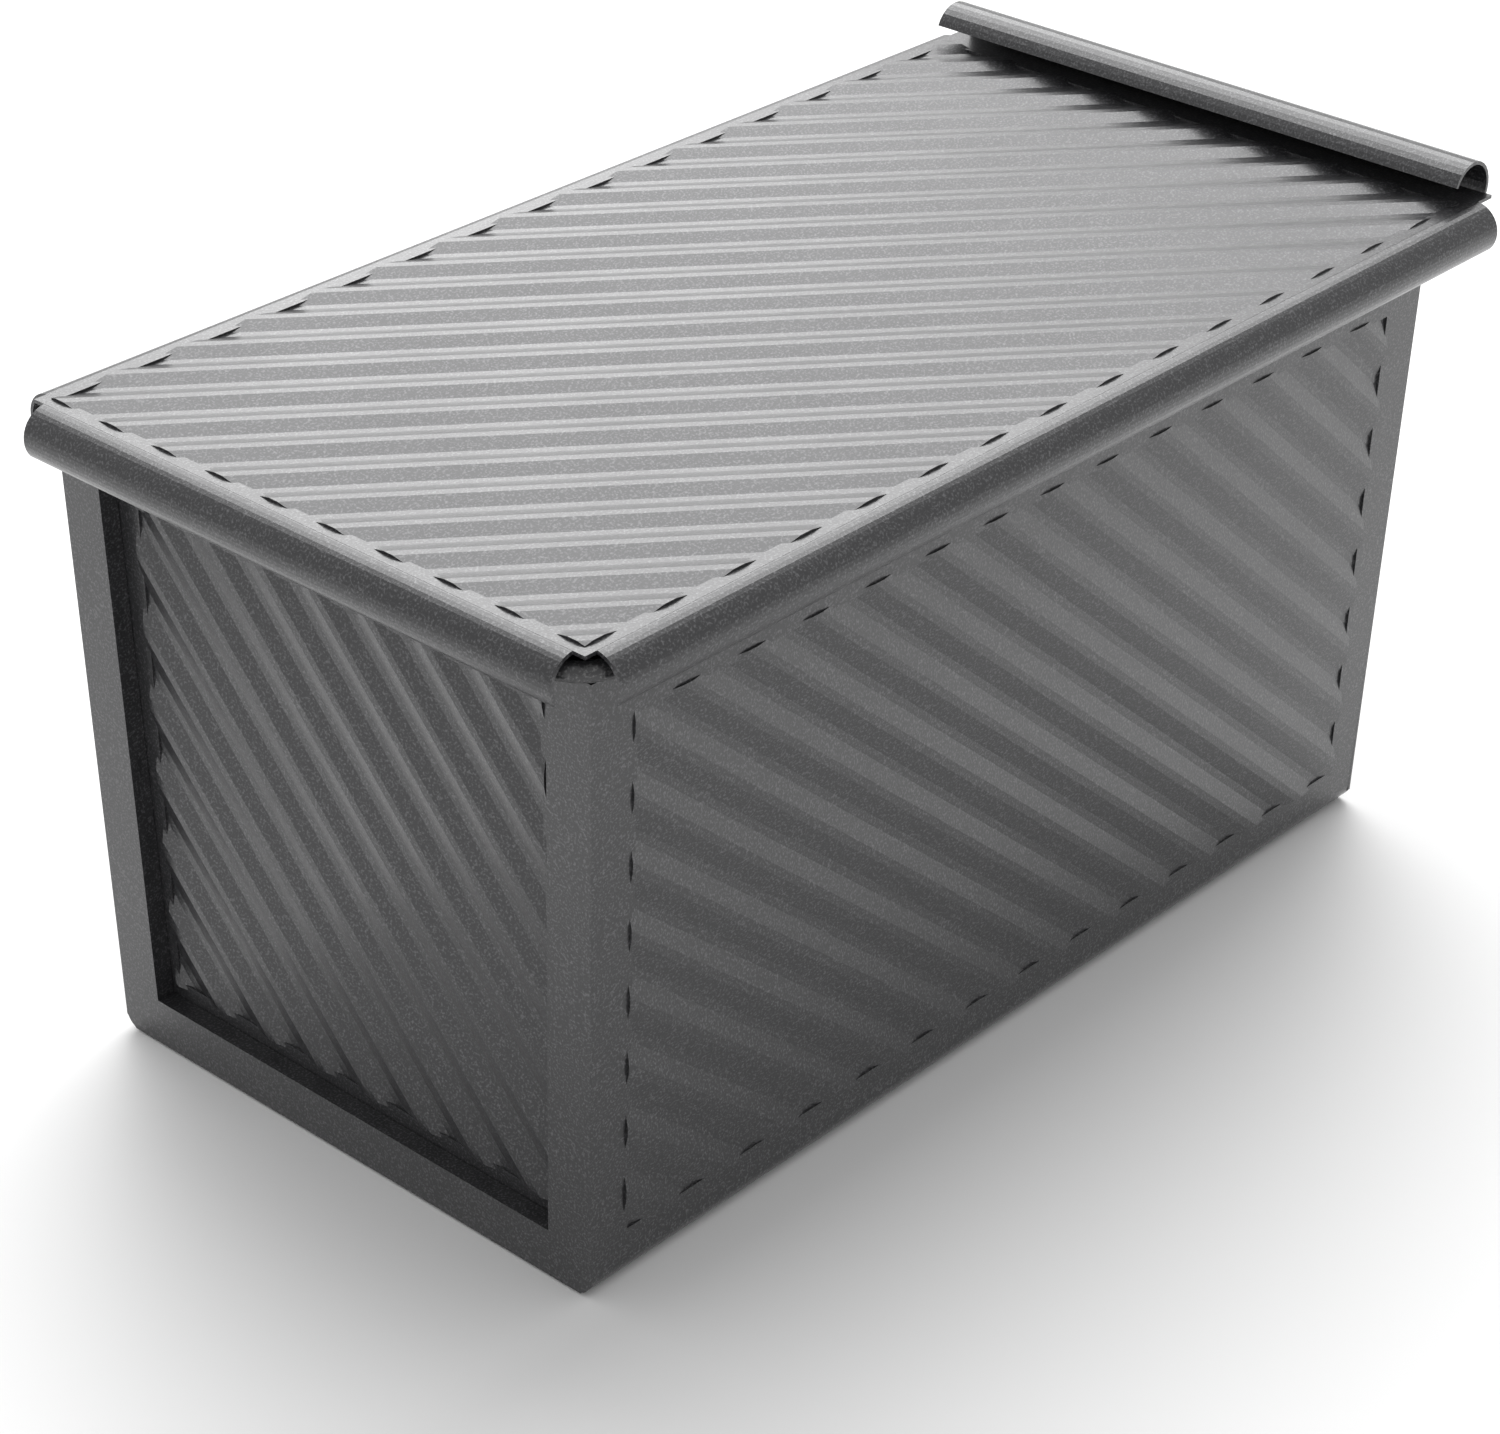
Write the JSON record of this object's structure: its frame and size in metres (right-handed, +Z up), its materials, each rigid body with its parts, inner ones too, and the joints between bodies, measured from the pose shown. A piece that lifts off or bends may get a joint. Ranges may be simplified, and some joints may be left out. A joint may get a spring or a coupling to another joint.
{
  "type": "pullman loaf pan",
  "caption": "Folded corrugated steel loaf pan with a wire-rolled rim and a sliding lid.",
  "frame": {"origin": "centre of the base at floor height", "axes": "+X towards the rear grip of the lid, +Y across the pan, +Z up"},
  "size_m": [0.2223, 0.123, 0.119],
  "materials": {
    "trough": "satin",
    "front_end_panel": "satin",
    "rear_end_panel": "satin",
    "rim_wire": "satin",
    "lid": "satin"
  },
  "bodies": {
    "pan": {"trough": "trough", "front_end_panel": "front_end_panel", "rear_end_panel": "rear_end_panel", "rim_wire": "rim_wire"},
    "lid": {"lid": "lid"}
  },
  "joints": [
    {"name": "lid_slide", "type": "slide", "parent": "pan", "child": "lid", "axis": [-1, 0, 0], "range_m": [0, 0.22]}
  ]
}
